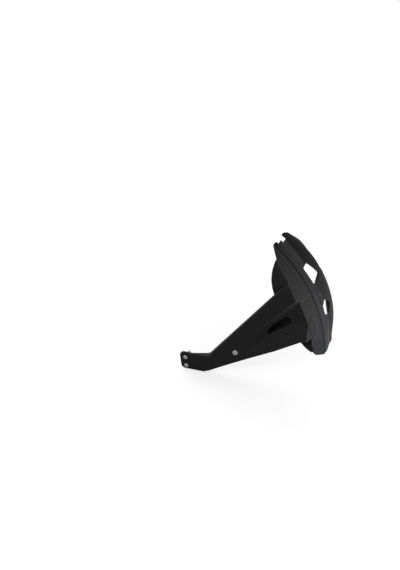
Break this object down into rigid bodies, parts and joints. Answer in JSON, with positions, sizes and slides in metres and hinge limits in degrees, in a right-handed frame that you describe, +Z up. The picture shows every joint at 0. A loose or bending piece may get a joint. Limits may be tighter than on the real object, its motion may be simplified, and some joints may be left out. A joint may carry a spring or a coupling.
{
  "type": "rear hugger mudguard",
  "caption": "Rear hugger mudguard for a motorbike: a curved plastic blade on a one-sided arm, with a crowned, slotted rear cover, bolted on at a front tab.",
  "frame": {"origin": "midway between the tab bolts, on the inner face of the steel bracket, which lies against the machine", "axes": "+X rearward along the machine, +Y across it from the arm's side to the far side, +Z up"},
  "size_m": [0.3302, 0.2298, 0.3107],
  "materials": {
    "body_plastic": "matte, fine moulded grain",
    "cover_plastic": "satin, fine moulded grain",
    "bracket_steel": "black powder coat",
    "zinc_steel": "bright zinc plate",
    "black_steel": "black zinc plate",
    "plain_steel": "turned steel",
    "insert_brass": "turned brass"
  },
  "bodies": {
    "root": {"fender_body": "body_plastic", "rear_cover": "cover_plastic", "mounting_bracket": "bracket_steel", "tab_bolts": "zinc_steel", "tab_washers": "black_steel", "tab_sleeves": "plain_steel", "arm_bolt": "zinc_steel", "arm_washer": "black_steel", "arm_sleeve": "plain_steel", "arm_nut": "zinc_steel", "cover_inserts": "insert_brass", "cover_screws": "black_steel", "cover_washers": "black_steel", "flank_screws": "black_steel"}
  },
  "joints": []
}
